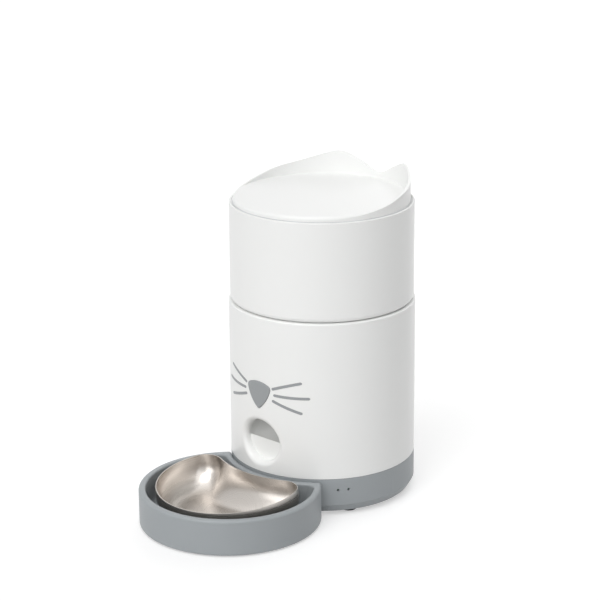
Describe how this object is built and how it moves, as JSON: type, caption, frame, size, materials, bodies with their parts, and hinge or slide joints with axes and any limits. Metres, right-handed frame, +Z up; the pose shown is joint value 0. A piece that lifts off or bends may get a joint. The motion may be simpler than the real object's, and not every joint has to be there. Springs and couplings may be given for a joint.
{
  "type": "smart cat feeder",
  "caption": "Round automatic pet feeder: lift-out hopper, eared lid, rotor drive, chute and docking tray with a metal dish.",
  "frame": {"origin": "centre of the footprint's bounding box on the floor", "axes": "+Z up, -Y forward toward the dish, +X to the viewer's right when the feeder is seen from the front"},
  "size_m": [0.19, 0.3236, 0.334],
  "materials": {
    "white_gloss": "smooth gloss",
    "white_inner": "fine satin",
    "grey_satin": "fine satin",
    "grey_trim": "satin",
    "grey_lock": "satin",
    "steel_dish": "fine brushed, warm",
    "steel_screw": "zinc plated",
    "steel_shaft": "ground",
    "rubber_black": "matt",
    "silicone": "soft matt",
    "rotor_soft": "soft matt",
    "gear_acetal": "waxy",
    "case_black": "fine matt",
    "motor_can": "plated can",
    "contact_metal": "nickel plated",
    "cell_wrap": "shrink film",
    "board_green": "solder mask",
    "switch_black": "matt",
    "paper_pack": "soft non-woven"
  },
  "bodies": {
    "base": {"base_shell": "grey_satin", "bottom_plate": "grey_satin", "rubber_feet": "rubber_black", "battery_box": "case_black", "battery_cells": "cell_wrap", "battery_contacts": "contact_metal", "power_inlet": "switch_black", "base_screws": "steel_screw", "body_shell": "white_gloss", "whiskers": "grey_trim", "nose_switch": "switch_black", "hopper_well": "white_inner", "chute_trough": "white_inner", "chute_hood": "white_inner", "food_sensors": "case_black", "gearbox_case": "case_black", "drive_motor": "motor_can", "main_board": "board_green", "board_screws": "steel_screw", "side_board": "board_green"},
    "battery_door": {"battery_door": "grey_satin"},
    "nose": {"nose_button": "grey_trim"},
    "drive": {"drive_shaft": "steel_shaft", "output_gear": "gear_acetal"},
    "idler": {"idler_gear": "gear_acetal"},
    "pinion": {"motor_pinion": "gear_acetal"},
    "hopper": {"hopper_bin": "white_gloss", "hopper_catches": "white_gloss", "level_window": "switch_black", "metering_base": "white_inner", "metering_screws": "steel_screw", "portion_cover": "white_inner"},
    "rotor": {"rotor": "rotor_soft", "rotor_shaft": "gear_acetal", "agitator": "rotor_soft"},
    "gasket": {"lid_gasket": "silicone"},
    "lid": {"lid_cover": "white_gloss", "lid_lock_ring": "grey_lock", "lid_lugs": "grey_lock", "desiccant_case": "white_inner", "desiccant_pack": "paper_pack"},
    "tray": {"tray": "grey_satin", "tray_pads": "rubber_black"},
    "dish": {"dish": "steel_dish"}
  },
  "joints": [
    {"name": "hopper_lift", "type": "slide", "parent": "base", "child": "hopper", "axis": [0, 0, 1], "range_m": [0, 0.075]},
    {"name": "lid_lift", "type": "slide", "parent": "hopper", "child": "gasket", "axis": [0, 0, 1], "range_m": [0, 0.038]},
    {"name": "lid_turn", "type": "hinge", "parent": "gasket", "child": "lid", "pos_m": [0, 0.06675, 0.304], "axis": [0, 0, 1], "range_deg": [0, 20]},
    {"name": "tray_slide", "type": "slide", "parent": "base", "child": "tray", "axis": [0, -1, 0], "range_m": [0, 0.04]},
    {"name": "dish_lift", "type": "slide", "parent": "tray", "child": "dish", "axis": [0, 0, 1], "range_m": [0, 0.035]},
    {"name": "nose_press", "type": "slide", "parent": "base", "child": "nose", "axis": [0, 1, 0], "range_m": [0, 0.0014], "stiffness_N_per_m": 900},
    {"name": "output_spin", "type": "hinge", "parent": "base", "child": "drive", "pos_m": [0, 0.06675, 0.104], "axis": [0, 0, 1], "continuous": true},
    {"name": "rotor_spin", "type": "hinge", "parent": "hopper", "child": "rotor", "pos_m": [0, 0.06675, 0.165], "axis": [0, 0, 1], "continuous": true},
    {"name": "idler_spin", "type": "hinge", "parent": "base", "child": "idler", "pos_m": [0, 0.09275, 0.1], "axis": [0, 0, 1], "continuous": true},
    {"name": "pinion_spin", "type": "hinge", "parent": "base", "child": "pinion", "pos_m": [0, 0.11675, 0.098], "axis": [0, 0, 1], "continuous": true},
    {"name": "battery_door_slide", "type": "slide", "parent": "base", "child": "battery_door", "axis": [0, 1, 0], "range_m": [0, 0.03]}
  ],
  "couplings": [
    {"joint": "rotor_spin", "follows": "output_spin", "ratio": 1},
    {"joint": "idler_spin", "follows": "output_spin", "ratio": -3.3333},
    {"joint": "pinion_spin", "follows": "output_spin", "ratio": 10}
  ]
}
